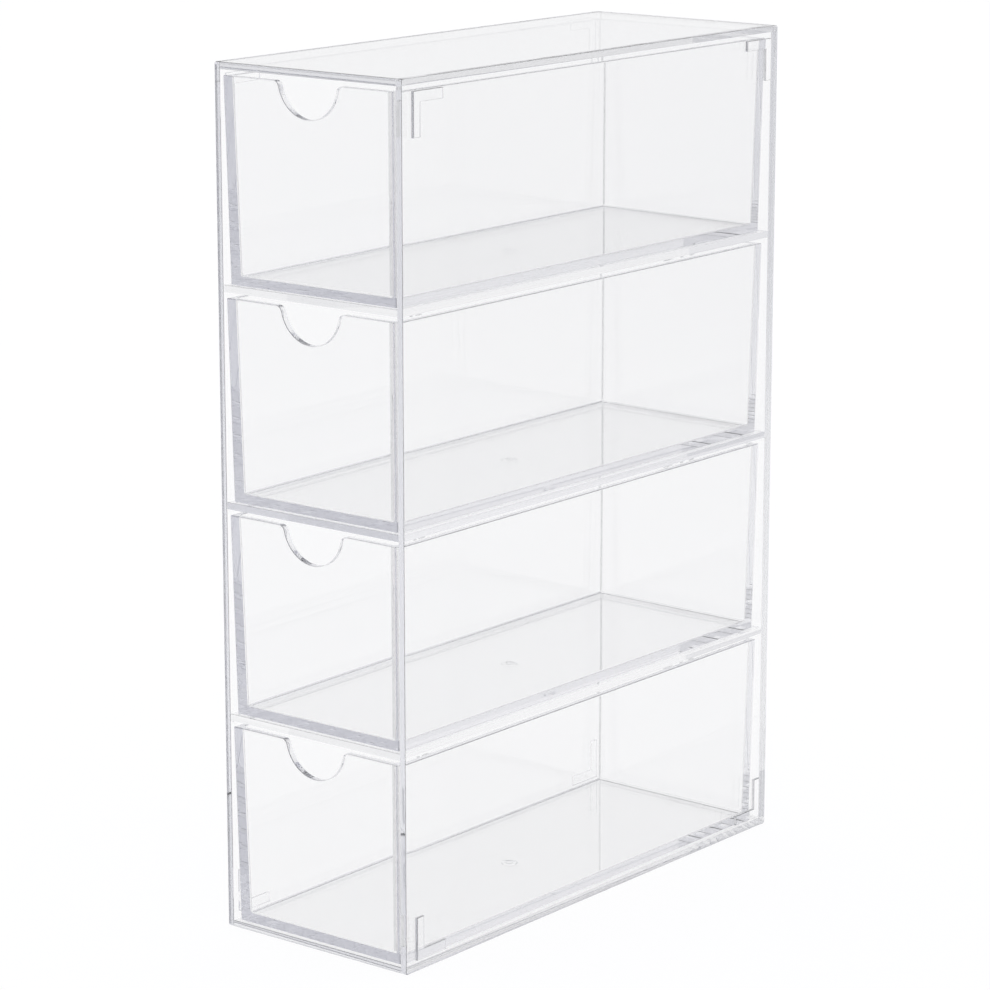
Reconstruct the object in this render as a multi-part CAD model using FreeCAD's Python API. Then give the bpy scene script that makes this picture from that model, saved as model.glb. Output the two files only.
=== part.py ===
import FreeCAD, Part
import math
import os

# A clear acrylic case for spectacles: a tall narrow casing of cemented panels, open at the front, with a stack of
# one-piece moulded drawers. All sizes are in millimetres. The front faces -Y and the right side +X. The origin is
# the middle of the footprint, on the surface that the case stands on.

# Casing: overall body and panel thicknesses
case_width = 67.0
case_depth = 175.0
case_height = 250.0
side_thickness = 2.0
top_thickness = 2.0
bottom_thickness = 2.0
back_thickness = 2.0
shelf_thickness = 2.0
shelf_front_setback = 0.2

# Casing: rounding of the silhouette's corners and of the shelves' front edges, and chamfer round the side panels
corner_round = 0.8
edge_round = 0.3
edge_chamfer = 0.25

# L-shaped pads moulded on the outer face of each side panel, on which the case can lie or be stacked
pad_leg_length = 12.5
pad_leg_width = 3.0
pad_height = 0.8
pad_chamfer = 0.15
pad_margin_front = 4.0
pad_margin_end = 3.5

# Drawers: how many, and the gaps round each one in its bay
drawer_count = 4
gap_above_drawer = 1.6
gap_below_drawer = 0.1
gap_beside_drawer = 0.9
gap_behind_drawer = 1.8
drawer_front_setback = 0.3

# Drawers: the moulding's walls, floor, draft and roundings
rim_wall = 2.0
foot_wall = 2.3
drawer_floor = 2.2
front_draft_degrees = 1.2
side_draft_degrees = 0.6
drawer_corner_round = 0.8
cavity_corner_round = 1.0
cavity_floor_round = 0.6
underside_round = 0.4
rim_round = 0.3

# Drawers: half-round finger notch in the front wall
notch_radius = 10.5
notch_depth = 10.0
notch_shoulder_round = 2.0

# Drawers: round gate well in the middle of the floor's underside, with the stub that the mould leaves in it
gate_well_radius = 2.5
gate_well_depth = 0.5
gate_stub_radius = 0.9
gate_stub_height = 0.3

# Working values that follow from the sizes above
inner_width = case_width - 2 * side_thickness
front_y = -case_depth / 2
back_y = case_depth / 2
bay_pitch = (case_height - top_thickness - bottom_thickness + shelf_thickness) / drawer_count
bay_height = bay_pitch - shelf_thickness
drawer_height = bay_height - gap_above_drawer - gap_below_drawer
drawer_width = inner_width - 2 * gap_beside_drawer
drawer_front_y = front_y + drawer_front_setback
drawer_back_y = back_y - back_thickness - gap_behind_drawer

# How far a cutting body runs past what it cuts, the slack in picking edges, and the largest share of a thickness
# that a rounding may take
cut_allowance = 1.0
tolerance = 0.001
largest_round_share = 0.33

up = FreeCAD.Vector(0, 0, 1)
rightwards = FreeCAD.Vector(1, 0, 0)
backwards = FreeCAD.Vector(0, 1, 0)
upright_turn = 90


def point(x, y, z):
    return FreeCAD.Vector(x, y, z)


def straight(start, end):
    return Part.LineSegment(start, end).toShape()


def arc(start, middle, end):
    return Part.Arc(start, middle, end).toShape()


def rounded_outline(low_u, high_u, low_v, high_v, radius, place):
    """A closed rectangle with round corners; place turns its two coordinates into a point in space."""
    lean = radius * (1 - math.sqrt(0.5))
    corners = [
        (low_u, low_v, (radius, 0), (0, radius)),
        (high_u, low_v, (0, radius), (-radius, 0)),
        (high_u, high_v, (-radius, 0), (0, -radius)),
        (low_u, high_v, (0, -radius), (radius, 0)),
    ]
    edges = []
    for index, (u, v, leave, enter) in enumerate(corners):
        inward_u = math.copysign(lean, leave[0] + enter[0])
        inward_v = math.copysign(lean, leave[1] + enter[1])
        arc_start = place(u + enter[0], v + enter[1])
        arc_end = place(u + leave[0], v + leave[1])
        edges.append(arc(arc_start, place(u + inward_u, v + inward_v), arc_end))
        next_u, next_v, _, next_enter = corners[(index + 1) % len(corners)]
        edges.append(straight(arc_end, place(next_u + next_enter[0], next_v + next_enter[1])))
    return Part.Wire(edges)


def box_between(low, high):
    """A plain block given by its lowest and highest corners."""
    size = high - low
    return Part.makeBox(size.x, size.y, size.z, low)


def round_edges(solid, radius, wanted):
    """Round those edges of a solid that the test called wanted picks."""
    edges = [edge for edge in solid.Edges if wanted(edge)]
    return solid.makeFillet(radius, edges)


def lies_at(value, target):
    return abs(value - target) < tolerance


def corner_pad():
    """One raised L with its outer corner at the origin of Y and Z, standing on X = 0, its crown's edges chamfered."""
    leg = pad_leg_length
    width = pad_leg_width
    outline = [(0, 0), (leg, 0), (leg, width), (width, width), (width, leg), (0, leg)]
    corners = [point(0, y, z) for y, z in outline]
    pad = Part.Face(Part.makePolygon(corners + corners[:1])).extrude(rightwards * pad_height)
    crown_edges = [edge for edge in pad.Edges if lies_at(edge.BoundBox.XMin, pad_height)]
    return pad.makeChamfer(pad_chamfer, crown_edges)


def side_panel(side):
    """A side panel with its four corner pads; side is 1 for the right one and -1 for the left one."""
    outline = rounded_outline(
        front_y, back_y, 0, case_height, corner_round, lambda y, z: point(case_width / 2 - side_thickness, y, z)
    )
    panel = Part.Face(outline).extrude(rightwards * side_thickness)
    outer_edges = [edge for edge in panel.Edges if lies_at(edge.BoundBox.XMin, case_width / 2)]
    panel = panel.makeChamfer(min(edge_chamfer, side_thickness * largest_round_share), outer_edges)
    pad = corner_pad()
    pad.translate(point(case_width / 2, front_y + pad_margin_front, pad_margin_end))
    upper_pad = pad.mirror(point(0, 0, case_height / 2), up)
    front_pads = pad.fuse(upper_pad)
    back_pads = front_pads.mirror(point(0, 0, 0), backwards)
    panel = panel.fuse([front_pads, back_pads]).removeSplitter()
    if side < 0:
        panel = panel.mirror(point(0, 0, 0), rightwards)
    return panel


def end_panel(low_z, high_z, outer_z):
    """The top or the bottom panel, between the side panels, with its outer long edges rounded."""
    low = point(-inner_width / 2, front_y, low_z)
    high = point(inner_width / 2, back_y, high_z)

    def outer_cross_edge(edge):
        box = edge.BoundBox
        return box.XLength > inner_width / 2 and lies_at(box.ZMin, outer_z) and lies_at(box.ZMax, outer_z)

    radius = min(corner_round, (high_z - low_z) * largest_round_share)
    return round_edges(box_between(low, high), radius, outer_cross_edge)


def back_panel():
    low = point(-inner_width / 2, back_y - back_thickness, bottom_thickness)
    high = point(inner_width / 2, back_y, case_height - top_thickness)
    return box_between(low, high)


def shelf(low_z):
    """A shelf across the casing, up against the back panel, with both of its front edges rounded."""
    shelf_front_y = front_y + shelf_front_setback
    low = point(-inner_width / 2, shelf_front_y, low_z)
    high = point(inner_width / 2, back_y - back_thickness, low_z + shelf_thickness)

    def front_edge(edge):
        box = edge.BoundBox
        return box.XLength > inner_width / 2 and lies_at(box.YMax, shelf_front_y)

    soft_edge = min(edge_round, shelf_thickness * largest_round_share)
    return round_edges(box_between(low, high), soft_edge, front_edge)


def drawer_limits(height, wall):
    """Half the width, and the front and back limits, of the drawer at a height above its underside, less a wall."""
    below_rim = drawer_height - height
    side_lean = below_rim * math.tan(math.radians(side_draft_degrees))
    front_lean = below_rim * math.tan(math.radians(front_draft_degrees))
    half_width = drawer_width / 2 - side_lean - wall
    return half_width, drawer_front_y + front_lean + wall, drawer_back_y - front_lean - wall


def drafted_block(foot_height, foot_inset, rim_inset, corner_radius):
    """A block up to the rim with flat walls that lean out with the draft, and with its upright edges rounded."""
    foot_x, foot_front, foot_back = drawer_limits(foot_height, foot_inset)
    rim_x, rim_front, rim_back = drawer_limits(drawer_height, rim_inset)
    low = (-foot_x, foot_height, -foot_back, -rim_back, -rim_x)
    high = (foot_x, drawer_height, -foot_front, -rim_front, rim_x)
    block = Part.makeWedge(*low, *high)
    block.rotate(point(0, 0, 0), rightwards, upright_turn)
    return round_edges(block, corner_radius, lambda edge: edge.BoundBox.ZLength > tolerance)


def drawer_cavity():
    """The drafted hollow of a drawer, with the fillet that runs round its floor."""
    hollow = drafted_block(drawer_floor, foot_wall, rim_wall, cavity_corner_round)
    return round_edges(hollow, cavity_floor_round, lambda edge: lies_at(edge.BoundBox.ZMax, drawer_floor))


def finger_notch():
    """A bar along Y with the notch's section: a round bottom that runs out into the rim over two rounded shoulders."""
    centre_z = drawer_height - notch_depth + notch_radius
    shoulder_z = drawer_height - notch_shoulder_round
    reach = notch_radius + notch_shoulder_round
    shoulder_x = math.sqrt(reach ** 2 - (centre_z - shoulder_z) ** 2)
    share = notch_radius / reach
    meet_x = shoulder_x * share
    meet_z = centre_z + (shoulder_z - centre_z) * share
    turn = (math.atan2(meet_z - shoulder_z, meet_x - shoulder_x) + 2 * math.pi) % (2 * math.pi)
    halfway = (turn + math.pi / 2) / 2
    bend_x = shoulder_x + notch_shoulder_round * math.cos(halfway)
    bend_z = shoulder_z + notch_shoulder_round * math.sin(halfway)
    start_y = drawer_front_y - cut_allowance
    above_z = drawer_height + cut_allowance

    def at(x, z):
        return point(x, start_y, z)

    section = Part.Wire([
        straight(at(-shoulder_x, above_z), at(shoulder_x, above_z)),
        straight(at(shoulder_x, above_z), at(shoulder_x, drawer_height)),
        arc(at(shoulder_x, drawer_height), at(bend_x, bend_z), at(meet_x, meet_z)),
        arc(at(meet_x, meet_z), at(0, centre_z - notch_radius), at(-meet_x, meet_z)),
        arc(at(-meet_x, meet_z), at(-bend_x, bend_z), at(-shoulder_x, drawer_height)),
        straight(at(-shoulder_x, drawer_height), at(-shoulder_x, above_z)),
    ])
    far_y = drawer_limits(drawer_height - notch_depth, foot_wall)[1] + cut_allowance
    return Part.Face(section).extrude(backwards * (far_y - start_y))


def gate_well():
    """The round well under the floor, as a solid of revolution that leaves the stub standing in its middle."""
    middle_y = (drawer_front_y + drawer_back_y) / 2
    stub_top = gate_well_depth - gate_stub_height
    outline = [
        (0, stub_top),
        (gate_stub_radius, stub_top),
        (gate_stub_radius, gate_well_depth),
        (gate_well_radius - gate_well_depth / 2, gate_well_depth),
        (gate_well_radius, 0),
        (gate_well_radius, -cut_allowance),
        (0, -cut_allowance),
    ]
    corners = [point(x, middle_y, z) for x, z in outline]
    section = Part.Face(Part.makePolygon(corners + corners[:1]))
    return section.revolve(point(0, middle_y, 0), up, 360)


def moulded_drawer():
    """One drawer, standing on Z = 0: a drafted tray with a rounded rim, and the notch and the gate well cut in it."""
    tray = drafted_block(0, 0, 0, drawer_corner_round)
    tray = round_edges(tray, underside_round, lambda edge: lies_at(edge.BoundBox.ZMax, 0))
    tray = tray.cut(drawer_cavity())
    soft_rim = min(rim_round, rim_wall * largest_round_share)
    tray = round_edges(tray, soft_rim, lambda edge: lies_at(edge.BoundBox.ZMin, drawer_height))
    return tray.cut([finger_notch(), gate_well()])


def save(node, shape):
    """Write one piece to its own file, after a test that it is one sound solid."""
    if not shape.isValid() or len(shape.Solids) != 1:
        raise ValueError(node + " is not one sound solid")
    shape.exportStep("parts/" + node + ".step")


def main():
    os.makedirs("parts", exist_ok=True)
    save("left_side_panel", side_panel(-1))
    save("right_side_panel", side_panel(1))
    save("top_panel", end_panel(case_height - top_thickness, case_height, case_height))
    save("bottom_panel", end_panel(0, bottom_thickness, 0))
    save("back_panel", back_panel())
    drawer = moulded_drawer()
    for number in range(1, drawer_count + 1):
        bay_floor_z = case_height - top_thickness - bay_height - (number - 1) * bay_pitch
        if number < drawer_count:
            save(f"shelf_{number}", shelf(bay_floor_z - shelf_thickness))
        placed = drawer.copy()
        placed.translate(up * (bay_floor_z + gap_below_drawer))
        save(f"drawer_{number}", placed)


main()
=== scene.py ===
import math

import bmesh
import bpy
from mathutils import Matrix, Vector


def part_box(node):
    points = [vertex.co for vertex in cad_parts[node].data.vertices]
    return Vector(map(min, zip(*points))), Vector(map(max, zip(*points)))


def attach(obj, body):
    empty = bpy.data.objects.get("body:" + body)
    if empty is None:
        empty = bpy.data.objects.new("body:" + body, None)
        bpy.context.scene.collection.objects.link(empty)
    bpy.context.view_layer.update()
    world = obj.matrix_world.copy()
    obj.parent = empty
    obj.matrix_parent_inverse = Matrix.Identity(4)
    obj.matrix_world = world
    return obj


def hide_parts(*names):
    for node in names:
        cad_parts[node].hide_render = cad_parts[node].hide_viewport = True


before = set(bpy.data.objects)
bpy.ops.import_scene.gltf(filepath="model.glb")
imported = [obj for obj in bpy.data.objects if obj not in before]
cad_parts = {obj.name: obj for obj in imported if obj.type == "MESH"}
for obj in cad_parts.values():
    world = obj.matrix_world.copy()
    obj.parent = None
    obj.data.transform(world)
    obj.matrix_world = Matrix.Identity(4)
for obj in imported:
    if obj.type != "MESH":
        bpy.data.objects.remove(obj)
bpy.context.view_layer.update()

# A clear acrylic case for spectacles, with four drawers, on a white studio floor. Lengths are in metres, and most are
# written as so many millimetres. The front faces -Y and the right side +X.

scene = bpy.context.scene
MM = 0.001

# Cemented joints: the pieces stop this far short of each other, so that each joint shows as a line
JOINT = 0.03 * MM

# Roundings of the plates' edges
CORNER_ROUND = 0.8 * MM
END_EDGE_ROUND = 0.66 * MM
SHELF_EDGE_ROUND = 0.15 * MM
SIDE_EDGE_ROUND = 0.2 * MM
SMALL_EDGE_ROUND = 0.2 * MM
SHARP_ANGLE = math.radians(40)

# L pads on the side plates
PAD_LEG = 12.5 * MM
PAD_WIDTH = 3.0 * MM
PAD_HEIGHT = 0.8 * MM
PAD_EDGE_ROUND = 0.15 * MM
PAD_FROM_FRONT = 4.0 * MM
PAD_FROM_END = 3.5 * MM

# Cement: a smear along the outer part of the left plate's front edge, and beads under the shelves' ends, each with its
# distance from the shelf's front edge and half its length
SMEAR_WIDTH = 1.0 * MM
BEADS = ((4 * MM, 0.7 * MM), (7 * MM, 1.6 * MM), (121 * MM, 2.6 * MM), (128 * MM, 0.9 * MM), (133 * MM, 1.5 * MM))
BEAD_FROM_SIDE = 0.3 * MM
BEAD_DROP = 0.28 * MM
BEAD_RADIUS = 0.22 * MM

# Drawers
RIM_WALL = 2.0 * MM
FOOT_WALL = 2.3 * MM
DRAWER_FLOOR = 2.2 * MM
FRONT_DRAFT = math.tan(math.radians(1.2))
SIDE_DRAFT = math.tan(math.radians(0.6))
DRAWER_CORNER = 0.35 * MM
FRONT_CAVITY_CORNER = 1.0 * MM
REAR_CAVITY_CORNER = 0.4 * MM
CAVITY_FLOOR_ROUND = 0.75 * MM
UNDERSIDE_ROUND = 0.2 * MM
RIM_ROUND = 0.3 * MM
NOTCH_RADIUS = 10.5 * MM
NOTCH_DEPTH = 10.0 * MM
SHOULDER_ROUND = 2.0 * MM
GATE_RADIUS = 2.5 * MM
GATE_DEPTH = 0.5 * MM
GATE_STUB_RADIUS = 0.9 * MM
GATE_STUB_HEIGHT = 0.3 * MM


class Wire:
    """An output of a node. Sums on it add the Math nodes that work them out."""

    def __init__(self, bench, socket):
        self.bench = bench
        self.socket = socket

    def maths(self, operation, *terms):
        return self.bench.node("ShaderNodeMath", {"operation": operation}, dict(enumerate(terms)))

    def __add__(self, other):
        return self.maths("ADD", self, other)

    def __radd__(self, other):
        return self.maths("ADD", other, self)

    def __sub__(self, other):
        return self.maths("SUBTRACT", self, other)

    def __rsub__(self, other):
        return self.maths("SUBTRACT", other, self)

    def __mul__(self, other):
        return self.maths("MULTIPLY", self, other)

    def __rmul__(self, other):
        return self.maths("MULTIPLY", other, self)

    def __truediv__(self, other):
        return self.maths("DIVIDE", self, other)

    def __rtruediv__(self, other):
        return self.maths("DIVIDE", other, self)

    def __pow__(self, other):
        return self.maths("POWER", self, other)

    def __lt__(self, other):
        return self.maths("LESS_THAN", self, other)

    def __gt__(self, other):
        return self.maths("GREATER_THAN", self, other)

    def __abs__(self):
        return self.maths("ABSOLUTE", self)

    def larger(self, other):
        return self.maths("MAXIMUM", self, other)

    def smaller(self, other):
        return self.maths("MINIMUM", self, other)

    def eased(self, start, end, low=0.0, high=1.0):
        """Goes smoothly from low to high as this value goes from start to end."""
        sockets = {"Value": self, "From Min": start, "From Max": end, "To Min": low, "To Max": high}
        return self.bench.node("ShaderNodeMapRange", {"interpolation_type": "SMOOTHSTEP"}, sockets)

    def part(self, axis):
        """The X, Y or Z of a vector."""
        return self.bench.node("ShaderNodeSeparateXYZ", {}, {0: self}, axis)


class Bench:
    """The nodes of a material or of the world, started from nothing."""

    def __init__(self, owner):
        owner.use_nodes = True
        self.tree = owner.node_tree
        self.tree.nodes.clear()

    def node(self, kind, settings=None, sockets=None, output=0):
        """Adds a node, sets it, then fills or links its sockets, and gives one of its outputs."""
        made = self.tree.nodes.new(kind)
        for name, value in (settings or {}).items():
            if name == "stops":
                self.set_stops(made.color_ramp, value)
            else:
                setattr(made, name, value)
        for name, value in (sockets or {}).items():
            if isinstance(value, Wire):
                self.tree.links.new(value.socket, made.inputs[name])
            else:
                made.inputs[name].default_value = value
        return Wire(self, made.outputs[output]) if made.outputs else None

    def set_stops(self, ramp, stops):
        for place, colour in stops[len(ramp.elements):]:
            ramp.elements.new(place)
        for element, (place, colour) in zip(ramp.elements, stops):
            element.position = place
            element.color = colour

    def blend(self, factor, first, second):
        """A colour that goes from the first to the second."""
        return self.node("ShaderNodeMix", {"data_type": "RGBA"}, {0: factor, 6: first, 7: second}, 2)

    def mixed(self, factor, first, second):
        """A shader that goes from the first to the second."""
        return self.node("ShaderNodeMixShader", {}, {0: factor, 1: first, 2: second})

    def finish(self, kind, **sockets):
        self.node(kind, {}, sockets)


def grey(level, warmth=0.0):
    """A plain grey; warmth above 0 leans it to yellow and below 0 to violet blue."""
    return (level * (1 + warmth), level * (1 + warmth * 0.8), level * (1 - warmth), 1.0)


# Materials

CLEAR_IOR = 1.49
# A dark violet grey for the marked faces: partly the milkiness of frosted edges, partly painted shade for the dark
# outlines that refraction at the edges gives
MILK_AND_SHADE_COLOUR = (0.16, 0.165, 0.185, 1.0)
TINT = (0.33, 0.34, 0.46, 1.0)


def clear_acrylic(name, clarity, tint_density, ripple_size):
    """Clear plastic whose tint only long paths through it show, with milkiness and painted shade on the faces that are
    marked so: a dark violet grey that stands partly for frosted cut edges and partly for the dark outlines that
    refraction at the edges gives.
    """
    material = bpy.data.materials.new(name)
    bench = Bench(material)
    place = bench.node("ShaderNodeTexCoord", {}, {}, "Object")
    milky = bench.node("ShaderNodeAttribute", {"attribute_name": "milky"}, {}, "Fac")
    ripple = bench.node("ShaderNodeTexNoise", {}, {"Vector": place, "Scale": 1 / ripple_size, "Detail": 2.0})
    cloud = bench.node("ShaderNodeTexNoise", {}, {"Vector": place, "Scale": 400.0, "Detail": 3.0})
    smudge = bench.node("ShaderNodeTexNoise", {}, {"Vector": place, "Scale": 30.0, "Detail": 4.0})
    # Milkiness and painted shade on the marked faces, broken up by a fine cloud
    milk_and_shade = milky * cloud.eased(0.3, 0.7, 0.8, 1.0)
    rough = smudge.eased(0.66, 0.8) * 0.03 + milky * 0.06
    bump = bench.node("ShaderNodeBump", {}, {"Strength": 1.0, "Distance": 0.0001 * MM, "Height": ripple})
    clear = bench.node(
        "ShaderNodeBsdfPrincipled",
        {},
        {
            "Base Color": bench.blend(milk_and_shade, grey(clarity), MILK_AND_SHADE_COLOUR),
            "Roughness": rough,
            "IOR": CLEAR_IOR,
            "Transmission Weight": 1.0,
            "Normal": bump,
        },
    )
    depth = bench.node("ShaderNodeVolumeAbsorption", {}, {"Color": TINT, "Density": tint_density})
    bench.finish("ShaderNodeOutputMaterial", Surface=clear, Volume=depth)
    return material


side_acrylic = clear_acrylic("moulded_side_acrylic", 0.985, 1.8, 0.06)
end_acrylic = clear_acrylic("moulded_end_acrylic", 0.95, 1.0, 0.06)
shelf_acrylic = clear_acrylic("moulded_shelf_acrylic", 0.999, 0.02, 0.05)
denser_shelf_acrylic = clear_acrylic("denser_shelf_acrylic", 0.999, 2.2, 0.05)
drawer_acrylic = clear_acrylic("moulded_drawer_acrylic", 0.985, 3.0, 0.03)
cured_cement = clear_acrylic("cured_cement", 0.97, 0.2, 0.001)


# The share of milkiness and painted shade on the faces, from 0 for polished to 1: roundings that face the open front
# or the inside, cemented ends, the walls of the pads, and the drawers' roundings. On the roundings it is partly
# milkiness and partly painted shade for the dark outlines that refraction at the edges gives; on the pads' walls and
# in the drawers' inner corners it is painted shade; on cement it is the cement's own milkiness.
OUTER_EDGE_MILK_AND_SHADE = 0.12
INNER_EDGE_MILK_AND_SHADE = 0.6
CORNER_EDGE_MILK_AND_SHADE = 0.2
SMEAR_MILK = 0.8
FAINT_MILK_AND_SHADE = 0.1
CEMENT_MILK = 0.1
PAD_WALL_PAINTED_SHADE = 0.7
RIM_MILK_AND_SHADE = 0.25
INNER_CORNER_PAINTED_SHADE = 0.45
REAR_INNER_CORNER_PAINTED_SHADE = 0.6
SOFT_MILK = 0.0
BEAD_MILK = 0.3


# Making pieces


def slanted(face):
    """True for a face of a rounding: it looks squarely along no axis."""
    return max(abs(part) for part in face.normal) < 0.995


def finished(name, bm, material, body, node, milky):
    """Makes a piece of a bmesh, in place of its CAD node, riding on the node's body. The mask function marks each face
    with its share of milkiness and painted shade.
    """
    bmesh.ops.recalc_face_normals(bm, faces=bm.faces)
    bm.normal_update()
    loose = [edge for edge in bm.edges if len(edge.link_faces) != 2]
    if loose:
        raise ValueError(f"{name} has {len(loose)} open edges")
    marks = bm.faces.layers.float.get("milky") or bm.faces.layers.float.new("milky")
    for face in bm.faces:
        face[marks] = milky(face, face[marks])
    mesh = bpy.data.meshes.new(name)
    bm.to_mesh(mesh)
    bm.free()
    mesh.materials.append(material)
    mesh.shade_smooth()
    mesh.set_sharp_from_angle(angle=SHARP_ANGLE)
    piece = bpy.data.objects.new(name, mesh)
    scene.collection.objects.link(piece)
    keep_flats = piece.modifiers.new("keep_flats_flat", "WEIGHTED_NORMAL")
    keep_flats.weight = 100
    keep_flats.keep_sharp = True
    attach(piece, body)
    if node:
        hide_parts(node)
    return piece


def near(value, target):
    return abs(value - target) < 0.002 * MM


def round_off(bm, radius, segments, wanted):
    """Rounds the edges for which wanted is true of both of their ends."""
    edges = [edge for edge in bm.edges if all(wanted(vertex.co) for vertex in edge.verts)]
    bmesh.ops.bevel(bm, geom=edges, offset=radius, segments=segments, profile=0.5, affect="EDGES", clamp_overlap=True)


def block(low, high):
    """A bmesh box between two corners."""
    bm = bmesh.new()
    bmesh.ops.create_cube(bm, size=1.0)
    for vertex in bm.verts:
        vertex.co = Vector(
            (high[i] if vertex.co[i] > 0 else low[i]) for i in range(3)
        )
    return bm


def end_plate(name, node, outer_is_top):
    """The top or bottom plate, between the side plates, with its outer front and back edges rounded."""
    low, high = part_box(node)
    low.x += JOINT
    high.x -= JOINT
    bm = block(low, high)
    outer = high.z if outer_is_top else low.z
    inner = low.z if outer_is_top else high.z
    for y in (low.y, high.y):
        round_off(bm, END_EDGE_ROUND, 5, lambda co: near(co.z, outer) and near(co.y, y))
        round_off(bm, SMALL_EDGE_ROUND, 3, lambda co: near(co.z, inner) and near(co.y, y))

    # The roundings get milkiness with painted shade for their dark outlines, more on the inner ones; the cemented ends
    # get the cement's own milkiness
    def milky(face, mark):
        if slanted(face):
            return OUTER_EDGE_MILK_AND_SHADE if abs(face.calc_center_median().z - outer) < END_EDGE_ROUND else INNER_EDGE_MILK_AND_SHADE
        return CEMENT_MILK if abs(face.normal.x) > 0.9 else 0.0

    return finished(name, bm, end_acrylic, "casing", node, milky)


def back_plate():
    low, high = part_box("back_panel")
    gap = Vector((JOINT, 0, JOINT))
    bm = block(low + gap, high - gap)

    def milky(face, mark):
        return CEMENT_MILK if abs(face.normal.y) < 0.1 else 0.0

    return finished("back_plate", bm, side_acrylic, "casing", "back_panel", milky)


def shelf_plate(number):
    """A shelf with both of its front edges rounded."""
    node = f"shelf_{number}"
    low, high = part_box(node)
    low.x += JOINT
    high.x -= JOINT
    high.y -= JOINT
    bm = block(low, high)
    for z in (low.z, high.z):
        round_off(bm, SHELF_EDGE_ROUND, 3, lambda co: near(co.y, low.y) and near(co.z, z))

    def milky(face, mark):
        if slanted(face):
            return SOFT_MILK
        return SOFT_MILK if abs(face.normal.x) > 0.9 or face.normal.y > 0.9 else 0.0

    material = denser_shelf_acrylic if number == 2 else shelf_acrylic
    return finished(f"shelf_plate_{number}", bm, material, "casing", node, milky)


def cement_beads():
    """Small beads of cement that were squeezed out under the shelves' ends and have cured there."""
    bm = bmesh.new()
    for number in (1, 2, 3):
        low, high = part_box(f"shelf_{number}")
        for side in (-1, 1):
            for index, (along, half_length) in enumerate(BEADS):
                middle = Vector((side * (high.x - BEAD_FROM_SIDE), low.y + along + number * side * MM, low.z - BEAD_DROP))
                bead = bmesh.ops.create_uvsphere(bm, u_segments=20, v_segments=12, radius=1.0)["verts"]
                for vertex in bead:
                    swell = 1 + 0.12 * math.sin(5 * vertex.co.y + index) * math.cos(3 * vertex.co.x)
                    scale = Vector((BEAD_RADIUS * swell, half_length, BEAD_RADIUS * 0.8 * swell))
                    vertex.co = middle + vertex.co * scale
    piece = finished("joint_cement", bm, cured_cement, "casing", None, lambda face, mark: BEAD_MILK)
    return piece


def rounded_rectangle(low_u, high_u, low_v, high_v, radius, segments):
    """The corners of a rectangle's outline, each turned into a short arc."""
    points = []
    for turn, u, v in ((180, low_u, low_v), (270, high_u, low_v), (0, high_u, high_v), (90, low_u, high_v)):
        centre_u = u + radius if u == low_u else u - radius
        centre_v = v + radius if v == low_v else v - radius
        for step in range(segments + 1):
            angle = math.radians(turn + 90 * step / segments)
            points.append((centre_u + radius * math.cos(angle), centre_v + radius * math.sin(angle)))
    return points


def in_pad(y, z, case_low, case_high):
    """True if a place on the side plate's face is inside one of the four L pads."""
    from_front = min(y - case_low.y, case_high.y - y) - PAD_FROM_FRONT
    from_end = min(z - case_low.z, case_high.z - z) - PAD_FROM_END
    along_y = 0 < from_front < PAD_LEG and 0 < from_end < PAD_WIDTH
    along_z = 0 < from_end < PAD_LEG and 0 < from_front < PAD_WIDTH
    return along_y or along_z


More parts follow.
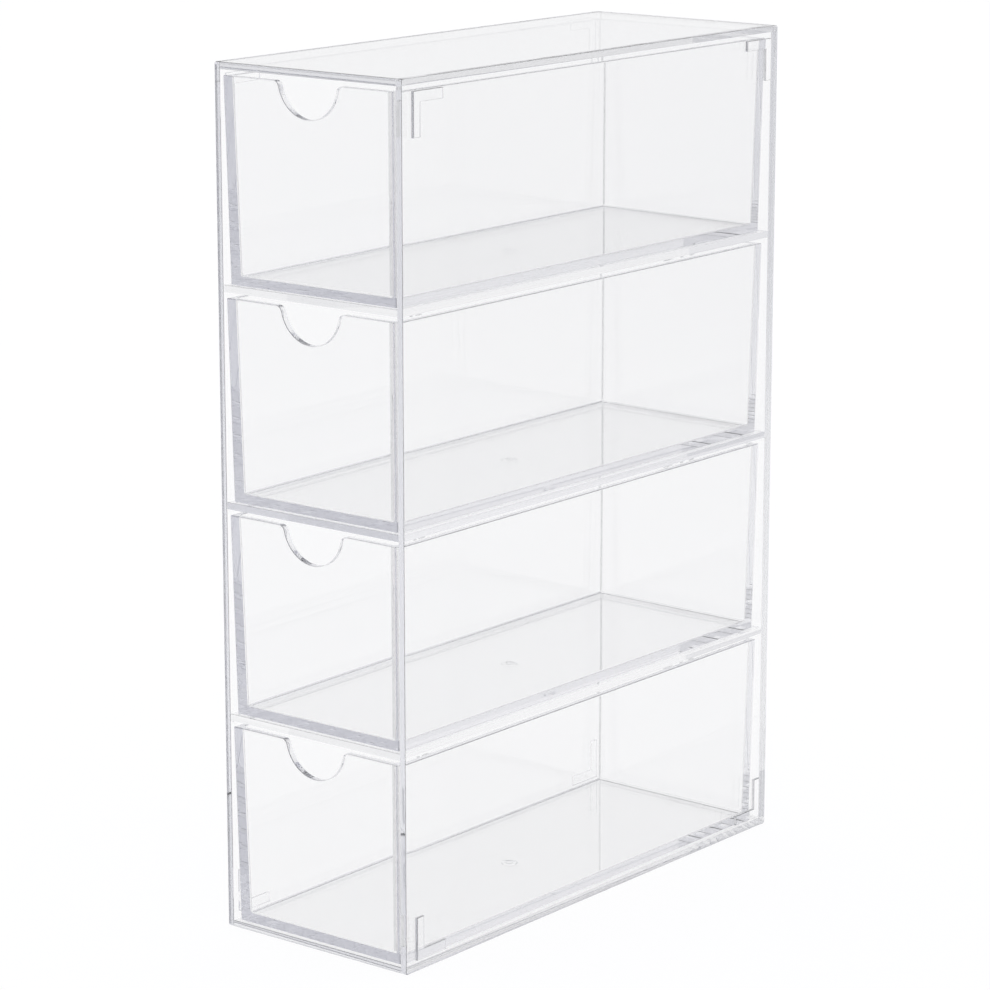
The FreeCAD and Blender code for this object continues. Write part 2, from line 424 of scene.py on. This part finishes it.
def side_plate(name, node, side):
    """A side plate with the four raised L pads that are one with it."""
    low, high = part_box(node)
    inner_x = low.x if side > 0 else high.x
    face_x = (high.x - PAD_HEIGHT) if side > 0 else (low.x + PAD_HEIGHT)
    bm = bmesh.new()
    outline = rounded_rectangle(low.y, high.y, low.z, high.z, CORNER_ROUND, 6)
    ring = [bm.verts.new((inner_x, y, z)) for y, z in outline]
    inner_face = bm.faces.new(ring)
    grown = bmesh.ops.extrude_face_region(bm, geom=[inner_face], use_keep_orig=True)["geom"]
    for vertex in [g for g in grown if isinstance(g, bmesh.types.BMVert)]:
        vertex.co.x = face_x
    cuts_y = [PAD_FROM_FRONT, PAD_FROM_FRONT + PAD_WIDTH, PAD_FROM_FRONT + PAD_LEG]
    cuts_z = [PAD_FROM_END, PAD_FROM_END + PAD_WIDTH, PAD_FROM_END + PAD_LEG]
    lines = [((face_x, low.y + cut, 0), (0, 1, 0)) for cut in cuts_y]
    lines += [((face_x, high.y - cut, 0), (0, 1, 0)) for cut in cuts_y]
    lines += [((face_x, 0, low.z + cut), (0, 0, 1)) for cut in cuts_z]
    lines += [((face_x, 0, high.z - cut), (0, 0, 1)) for cut in cuts_z]
    for place, direction in lines:
        face = [f for f in bm.faces if all(near(v.co.x, face_x) for v in f.verts)]
        geometry = set(face) | {e for f in face for e in f.edges} | {v for f in face for v in f.verts}
        bmesh.ops.bisect_plane(bm, geom=list(geometry), plane_co=place, plane_no=direction)
    pads = [
        f for f in bm.faces
        if all(near(v.co.x, face_x) for v in f.verts)
        and in_pad(f.calc_center_median().y, f.calc_center_median().z, low, high)
    ]
    grown = bmesh.ops.extrude_face_region(bm, geom=pads)["geom"]
    for vertex in [g for g in grown if isinstance(g, bmesh.types.BMVert)]:
        vertex.co.x = face_x + side * PAD_HEIGHT
    bmesh.ops.delete(bm, geom=[f for f in pads if f.is_valid], context="FACES")
    crown_x = face_x + side * PAD_HEIGHT
    crown = [
        e for e in bm.edges
        if all(near(v.co.x, crown_x) for v in e.verts)
        and any(not all(near(v.co.x, crown_x) for v in f.verts) for f in e.link_faces)
    ]
    bmesh.ops.bevel(bm, geom=crown, offset=PAD_EDGE_ROUND, segments=3, profile=0.5, affect="EDGES")
    for x, radius in ((face_x, SIDE_EDGE_ROUND), (inner_x, SMALL_EDGE_ROUND)):
        rim = [
            e for e in bm.edges
            if all(near(v.co.x, x) for v in e.verts)
            and any(abs(f.normal.x) < 0.5 for f in e.link_faces)
            and not all(in_pad_reach(v.co, low, high) for v in e.verts)
            and all(v.co.y < high.y - CORNER_ROUND * 0.9 for v in e.verts)
        ]
        bmesh.ops.bevel(bm, geom=rim, offset=radius, segments=3, profile=0.5, affect="EDGES")

    smear_x = face_x - side * SMEAR_WIDTH
    front = [f for f in bm.faces if all(v.co.y < low.y + 0.01 * MM for v in f.verts)]
    geometry = set(front) | {e for f in front for e in f.edges} | {v for f in front for v in f.verts}
    bmesh.ops.bisect_plane(bm, geom=list(geometry), plane_co=(smear_x, 0, 0), plane_no=(1, 0, 0))

    # The left plate's front edge gets its smear of cement; the right plate's pad walls get painted shade for their
    # outlines; the front roundings get milkiness with painted shade
    def milky(face, mark):
        middle = face.calc_center_median()
        if side < 0 and middle.y < low.y + 0.01 * MM and middle.x < smear_x:
            return SMEAR_MILK
        if in_pad_reach(middle, low, high):
            return 0.0 if side < 0 or abs(face.normal.x) > 0.995 else PAD_WALL_PAINTED_SHADE
        if middle.y > 0 or not slanted(face):
            return 0.0
        outer_front = middle.y < low.y + CORNER_ROUND and abs(middle.x - face_x) < SIDE_EDGE_ROUND
        return CORNER_EDGE_MILK_AND_SHADE if outer_front else FAINT_MILK_AND_SHADE

    return finished(name, bm, side_acrylic, "casing", node, milky)


def in_pad_reach(co, low, high):
    """True for a point in the margin where the pads are, and so not on the plate's own outline."""
    inside_y = low.y + PAD_FROM_FRONT * 0.9 < co.y < high.y - PAD_FROM_FRONT * 0.9
    inside_z = low.z + PAD_FROM_END * 0.9 < co.z < high.z - PAD_FROM_END * 0.9
    return inside_y and inside_z


def notch_line():
    """The line of the finger notch from left to right: (x, depth below the rim, direction into the wall)."""
    centre = NOTCH_RADIUS - NOTCH_DEPTH
    reach = NOTCH_RADIUS + SHOULDER_ROUND
    shoulder_z = -SHOULDER_ROUND
    shoulder_x = math.sqrt(reach ** 2 - (centre - shoulder_z) ** 2)
    lean = math.atan2(centre - shoulder_z, shoulder_x)
    line = []
    for step in range(9):
        angle = math.pi / 2 - (math.pi / 2 - lean) * step / 8
        x = -shoulder_x + SHOULDER_ROUND * math.cos(angle)
        z = shoulder_z + SHOULDER_ROUND * math.sin(angle)
        line.append((x, z, -math.cos(angle), -math.sin(angle)))
    for step in range(1, 33):
        angle = math.pi + lean + (math.pi - 2 * lean) * step / 33
        x, z = NOTCH_RADIUS * math.cos(angle), centre + NOTCH_RADIUS * math.sin(angle)
        line.append((x, z, math.cos(angle), math.sin(angle)))
    return line + [(-x, z, -nx, nz) for x, z, nx, nz in reversed(line[:9])]


class Station:
    """One place round a drawer's wall. side is the wall's outward direction seen from above."""

    def __init__(self, side, x=None, corner=None, drop=0.0, into=(0.0, -1.0)):
        self.side = Vector((side[0], side[1], 0))
        self.x = x
        self.corner = corner
        self.drop = drop
        self.into = Vector((into[0], 0, into[1]))

    def at(self, limits, radius):
        """The point of this station on an outline with these limits and this corner radius."""
        half_width, front, back = limits
        if self.corner is None:
            return Vector((self.x, front, 0))
        right, rear = self.corner
        x = right * (half_width - radius)
        y = back - radius if rear > 0 else front + radius
        return Vector((x, y, 0)) + self.side * radius


def stations():
    """The places round the drawer, from the left end of the front wall to the right and on round the back."""
    places = [Station((0, -1), x=x, drop=-z, into=(nx, nz)) for x, z, nx, nz in notch_line()]
    for right, rear, start in ((1, -1, 270), (1, 1, 0), (-1, 1, 90), (-1, -1, 180)):
        for step in range(9):
            angle = math.radians(start + 90 * step / 8)
            places.append(Station((math.cos(angle), math.sin(angle)), corner=(right, rear)))
    return places


def drawer_tray(number):
    """A moulded drawer: walls with draft, all its edges rounded, the finger notch and the gate well."""
    node = f"drawer_{number}"
    low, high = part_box(node)
    height = high.z - low.z
    up = Vector((0, 0, 1))

    def limits(level, wall):
        below = height - level
        half = high.x - below * SIDE_DRAFT - wall
        return half, low.y + below * FRONT_DRAFT + wall, high.y - below * FRONT_DRAFT - wall

    def arc_steps(count):
        return [math.radians(90 * step / count) for step in range(count + 1)]

    places = stations()
    columns = []
    for place in places:
        column = []
        rear = place.corner is not None and place.corner[1] > 0
        cavity_corner = REAR_CAVITY_CORNER if rear else FRONT_CAVITY_CORNER
        foot = place.at(limits(0, 0), DRAWER_CORNER)
        centre = foot + up * UNDERSIDE_ROUND - place.side * UNDERSIDE_ROUND
        for angle in reversed(arc_steps(4)):
            column.append(centre + (place.side * math.cos(angle) - up * math.sin(angle)) * UNDERSIDE_ROUND)
        top = height - place.drop
        edge = place.at(limits(top, 0), DRAWER_CORNER) + up * top
        centre = edge + (place.into - place.side) * RIM_ROUND
        for angle in arc_steps(4):
            column.append(centre + (place.side * math.cos(angle) - place.into * math.sin(angle)) * RIM_ROUND)
        wall = RIM_WALL + (FOOT_WALL - RIM_WALL) * place.drop / (height - DRAWER_FLOOR)
        edge = place.at(limits(top, wall), cavity_corner) + up * top
        centre = edge + (place.into + place.side) * RIM_ROUND
        for angle in reversed(arc_steps(4)):
            column.append(centre - (place.side * math.cos(angle) + place.into * math.sin(angle)) * RIM_ROUND)
        foot = place.at(limits(DRAWER_FLOOR, FOOT_WALL), cavity_corner) + up * DRAWER_FLOOR
        centre = foot + (up - place.side) * CAVITY_FLOOR_ROUND
        for angle in arc_steps(5):
            column.append(centre + (place.side * math.cos(angle) - up * math.sin(angle)) * CAVITY_FLOOR_ROUND)
        columns.append(column)

    bm = bmesh.new()
    marks = bm.faces.layers.float.new("milky")
    lift = Vector((0, 0, low.z))
    rings = [[bm.verts.new(point + lift) for point in column] for column in columns]
    count = len(rings)
    for index, ring in enumerate(rings):
        following = rings[(index + 1) % count]
        corner = places[index].corner
        turning = corner is not None and corner == places[(index + 1) % count].corner
        for level in range(len(ring) - 1):
            face = bm.faces.new((ring[level], following[level], following[level + 1], ring[level + 1]))
            face[marks] = wall_milk_and_shade(level, turning, turning and corner[1] > 0)
    bm.faces.new([ring[-1] for ring in rings])
    gate_centre = Vector((0, (low.y + high.y) / 2, low.z))
    well = gate_rings(bm, gate_centre)
    underside = [bm.edges.get((rings[i][0], rings[(i + 1) % count][0])) for i in range(count)]
    underside += [bm.edges.get((well[i], well[(i + 1) % len(well)])) for i in range(len(well))]
    bmesh.ops.triangle_fill(bm, edges=underside, use_beauty=True)
    body = {1: "top_drawer", 2: "upper_drawer", 3: "lower_drawer", 4: "bottom_drawer"}[number]
    return finished(
        f"drawer_tray_{number}", bm, drawer_acrylic, body, node, lambda face, mark: mark
    )


# Levels of a drawer's wall, from the underside up over the rim and down to the floor
OUTER_WALL = 4
RIM_TOP = 9
INNER_WALL = 14


def wall_milk_and_shade(level, turning, at_rear):
    """The share of milkiness and painted shade on a drawer's wall at this level, on its straights and where it turns a
    corner: the outer corners and the rim's roundings get milkiness with painted shade, the inner corners painted
    shade.
    """
    if level == OUTER_WALL:
        return CORNER_EDGE_MILK_AND_SHADE if turning and not at_rear else 0.0
    if level == INNER_WALL:
        if at_rear:
            return REAR_INNER_CORNER_PAINTED_SHADE
        return INNER_CORNER_PAINTED_SHADE if turning else 0.0
    if level == RIM_TOP:
        return 0.0
    return RIM_MILK_AND_SHADE if OUTER_WALL < level < INNER_WALL else SOFT_MILK


def gate_rings(bm, centre, segments=40):
    """The gate well's wall, its roof and the stub in its middle. Gives the ring at its mouth."""
    outline = [
        (GATE_RADIUS, 0),
        (GATE_RADIUS - GATE_DEPTH / 4, GATE_DEPTH * 0.75),
        (GATE_RADIUS - GATE_DEPTH / 2, GATE_DEPTH),
        (GATE_STUB_RADIUS + 0.1 * MM, GATE_DEPTH),
        (GATE_STUB_RADIUS, GATE_DEPTH - 0.1 * MM),
        (GATE_STUB_RADIUS, GATE_DEPTH - GATE_STUB_HEIGHT + 0.08 * MM),
        (GATE_STUB_RADIUS - 0.08 * MM, GATE_DEPTH - GATE_STUB_HEIGHT),
    ]
    rings = []
    for radius, height in outline:
        ring = []
        for step in range(segments):
            angle = 2 * math.pi * step / segments
            offset = Vector((radius * math.cos(angle), radius * math.sin(angle), height))
            ring.append(bm.verts.new(centre + offset))
        rings.append(ring)
    for outer, inner in zip(rings, rings[1:]):
        for step in range(segments):
            following = (step + 1) % segments
            bm.faces.new((outer[step], outer[following], inner[following], inner[step]))
    bm.faces.new(rings[-1])
    return rings[0]


end_plate("top_plate", "top_panel", True)
end_plate("bottom_plate", "bottom_panel", False)
back_plate()
side_plate("left_side_plate", "left_side_panel", -1)
side_plate("right_side_plate", "right_side_panel", 1)
for number in (1, 2, 3):
    shelf_plate(number)
for number in (1, 2, 3, 4):
    drawer_tray(number)
cement_beads()


# Studio

LOOK = Vector((-math.sin(math.radians(38.589)), math.cos(math.radians(38.589)), 0))


def rays_seen_straight(bench):
    """1 for the camera's rays and for those that have only passed through clear plastic on their way from it."""
    camera = bench.node("ShaderNodeLightPath", {}, {}, "Is Camera Ray")
    passed = bench.node("ShaderNodeLightPath", {}, {}, "Is Transmission Ray")
    mirrored = bench.node("ShaderNodeLightPath", {}, {}, "Glossy Depth")
    scattered = bench.node("ShaderNodeLightPath", {}, {}, "Diffuse Depth")
    return camera.larger(passed * (mirrored < 0.5) * (scattered < 0.5))


def studio_world():
    """White all round where it is seen straight; in reflections the side with the camera is darker."""
    world = bpy.data.worlds.new("white_studio")
    scene.world = world
    bench = Bench(world)
    direction = bench.node("ShaderNodeTexCoord", {}, {}, "Generated")
    away = bench.node("ShaderNodeVectorMath", {"operation": "DOT_PRODUCT"}, {0: direction, 1: LOOK}, "Value")
    height = direction.part("Z")
    level = away.eased(-0.9, 0.7)
    walls = bench.blend(level, grey(0.65, -0.03), grey(0.93, -0.006))
    ceiling = height.eased(0.45, 0.95)
    room = bench.blend(ceiling, walls, grey(0.9, -0.02))
    colour = bench.blend(rays_seen_straight(bench), room, grey(1.0))
    light = bench.node("ShaderNodeBackground", {}, {"Color": colour, "Strength": 1.0})
    bench.finish("ShaderNodeOutputWorld", Surface=light)
    world.cycles.sampling_method = "NONE"


def studio_floor():
    """A white floor that keeps a soft shadow and isn't there from below; in reflections its glow is painted shade,
    darker far off and on the camera's side.
    """
    bm = bmesh.new()
    bmesh.ops.create_grid(bm, x_segments=8, y_segments=8, size=6.0)
    mesh = bpy.data.meshes.new("studio_floor")
    bm.to_mesh(mesh)
    bm.free()
    floor = bpy.data.objects.new("studio_floor", mesh)
    floor.location.z = -0.00005
    scene.collection.objects.link(floor)
    material = bpy.data.materials.new("white_floor")
    bench = Bench(material)
    place = bench.node("ShaderNodeTexCoord", {}, {}, "Object")
    grain = bench.node("ShaderNodeTexNoise", {}, {"Vector": place, "Scale": 300.0, "Detail": 3.0})
    paint = bench.node("ShaderNodeBsdfDiffuse", {}, {"Color": bench.blend(grain, grey(0.047), grey(0.053))})
    flat = bench.node("ShaderNodeVectorMath", {"operation": "MULTIPLY"}, {0: place, 1: (1.0, 1.0, 0.0)})
    heading = bench.node("ShaderNodeVectorMath", {"operation": "NORMALIZE"}, {0: flat})
    away = bench.node("ShaderNodeVectorMath", {"operation": "DOT_PRODUCT"}, {0: heading, 1: LOOK}, "Value")
    distance = bench.node("ShaderNodeVectorMath", {"operation": "LENGTH"}, {0: flat}, "Value")
    # Painted shade: in reflections the floor's glow goes darker far off and on the camera's side, while rays seen
    # straight keep it near white
    far_painted_shade = bench.blend(away.eased(-0.5, 0.1), grey(0.7, -0.03), grey(0.87, -0.006))
    painted_shade_share = distance.eased(0.08, 1.2) * (1 - rays_seen_straight(bench))
    glow = bench.blend(painted_shade_share, grey(0.965, -0.004), far_painted_shade)
    glow = bench.node("ShaderNodeEmission", {}, {"Color": glow, "Strength": 1.0})
    top = bench.node("ShaderNodeAddShader", {}, {0: paint, 1: glow})
    open_air = bench.node("ShaderNodeBsdfTransparent")
    below = bench.node("ShaderNodeNewGeometry", {}, {}, "Backfacing")
    bench.finish("ShaderNodeOutputMaterial", Surface=bench.mixed(below, top, open_air))
    mesh.materials.append(material)


def studio_camera():
    """The camera at the height, distance and angle of the photograph."""
    lens = bpy.data.cameras.new("studio_camera")
    lens.sensor_fit = "HORIZONTAL"
    lens.sensor_width = 36.0
    lens.lens = 3756.75 / 990 * 36.0
    lens.clip_start = 0.05
    lens.clip_end = 50.0
    camera = bpy.data.objects.new("studio_camera", lens)
    turn = Matrix.Rotation(math.radians(38.589), 4, "Z")
    tilt = Matrix.Rotation(math.radians(90 - 13.093), 4, "X")
    place = Matrix.Translation(Vector((669.6, -845.07, 367.55)) * MM)
    camera.matrix_world = place @ turn @ tilt
    scene.collection.objects.link(camera)
    scene.camera = camera


studio_world()
studio_floor()
studio_camera()

scene.view_settings.view_transform = "Standard"
scene.cycles.max_bounces = 96
scene.cycles.transmission_bounces = 96
scene.cycles.glossy_bounces = 96
scene.cycles.transparent_max_bounces = 96
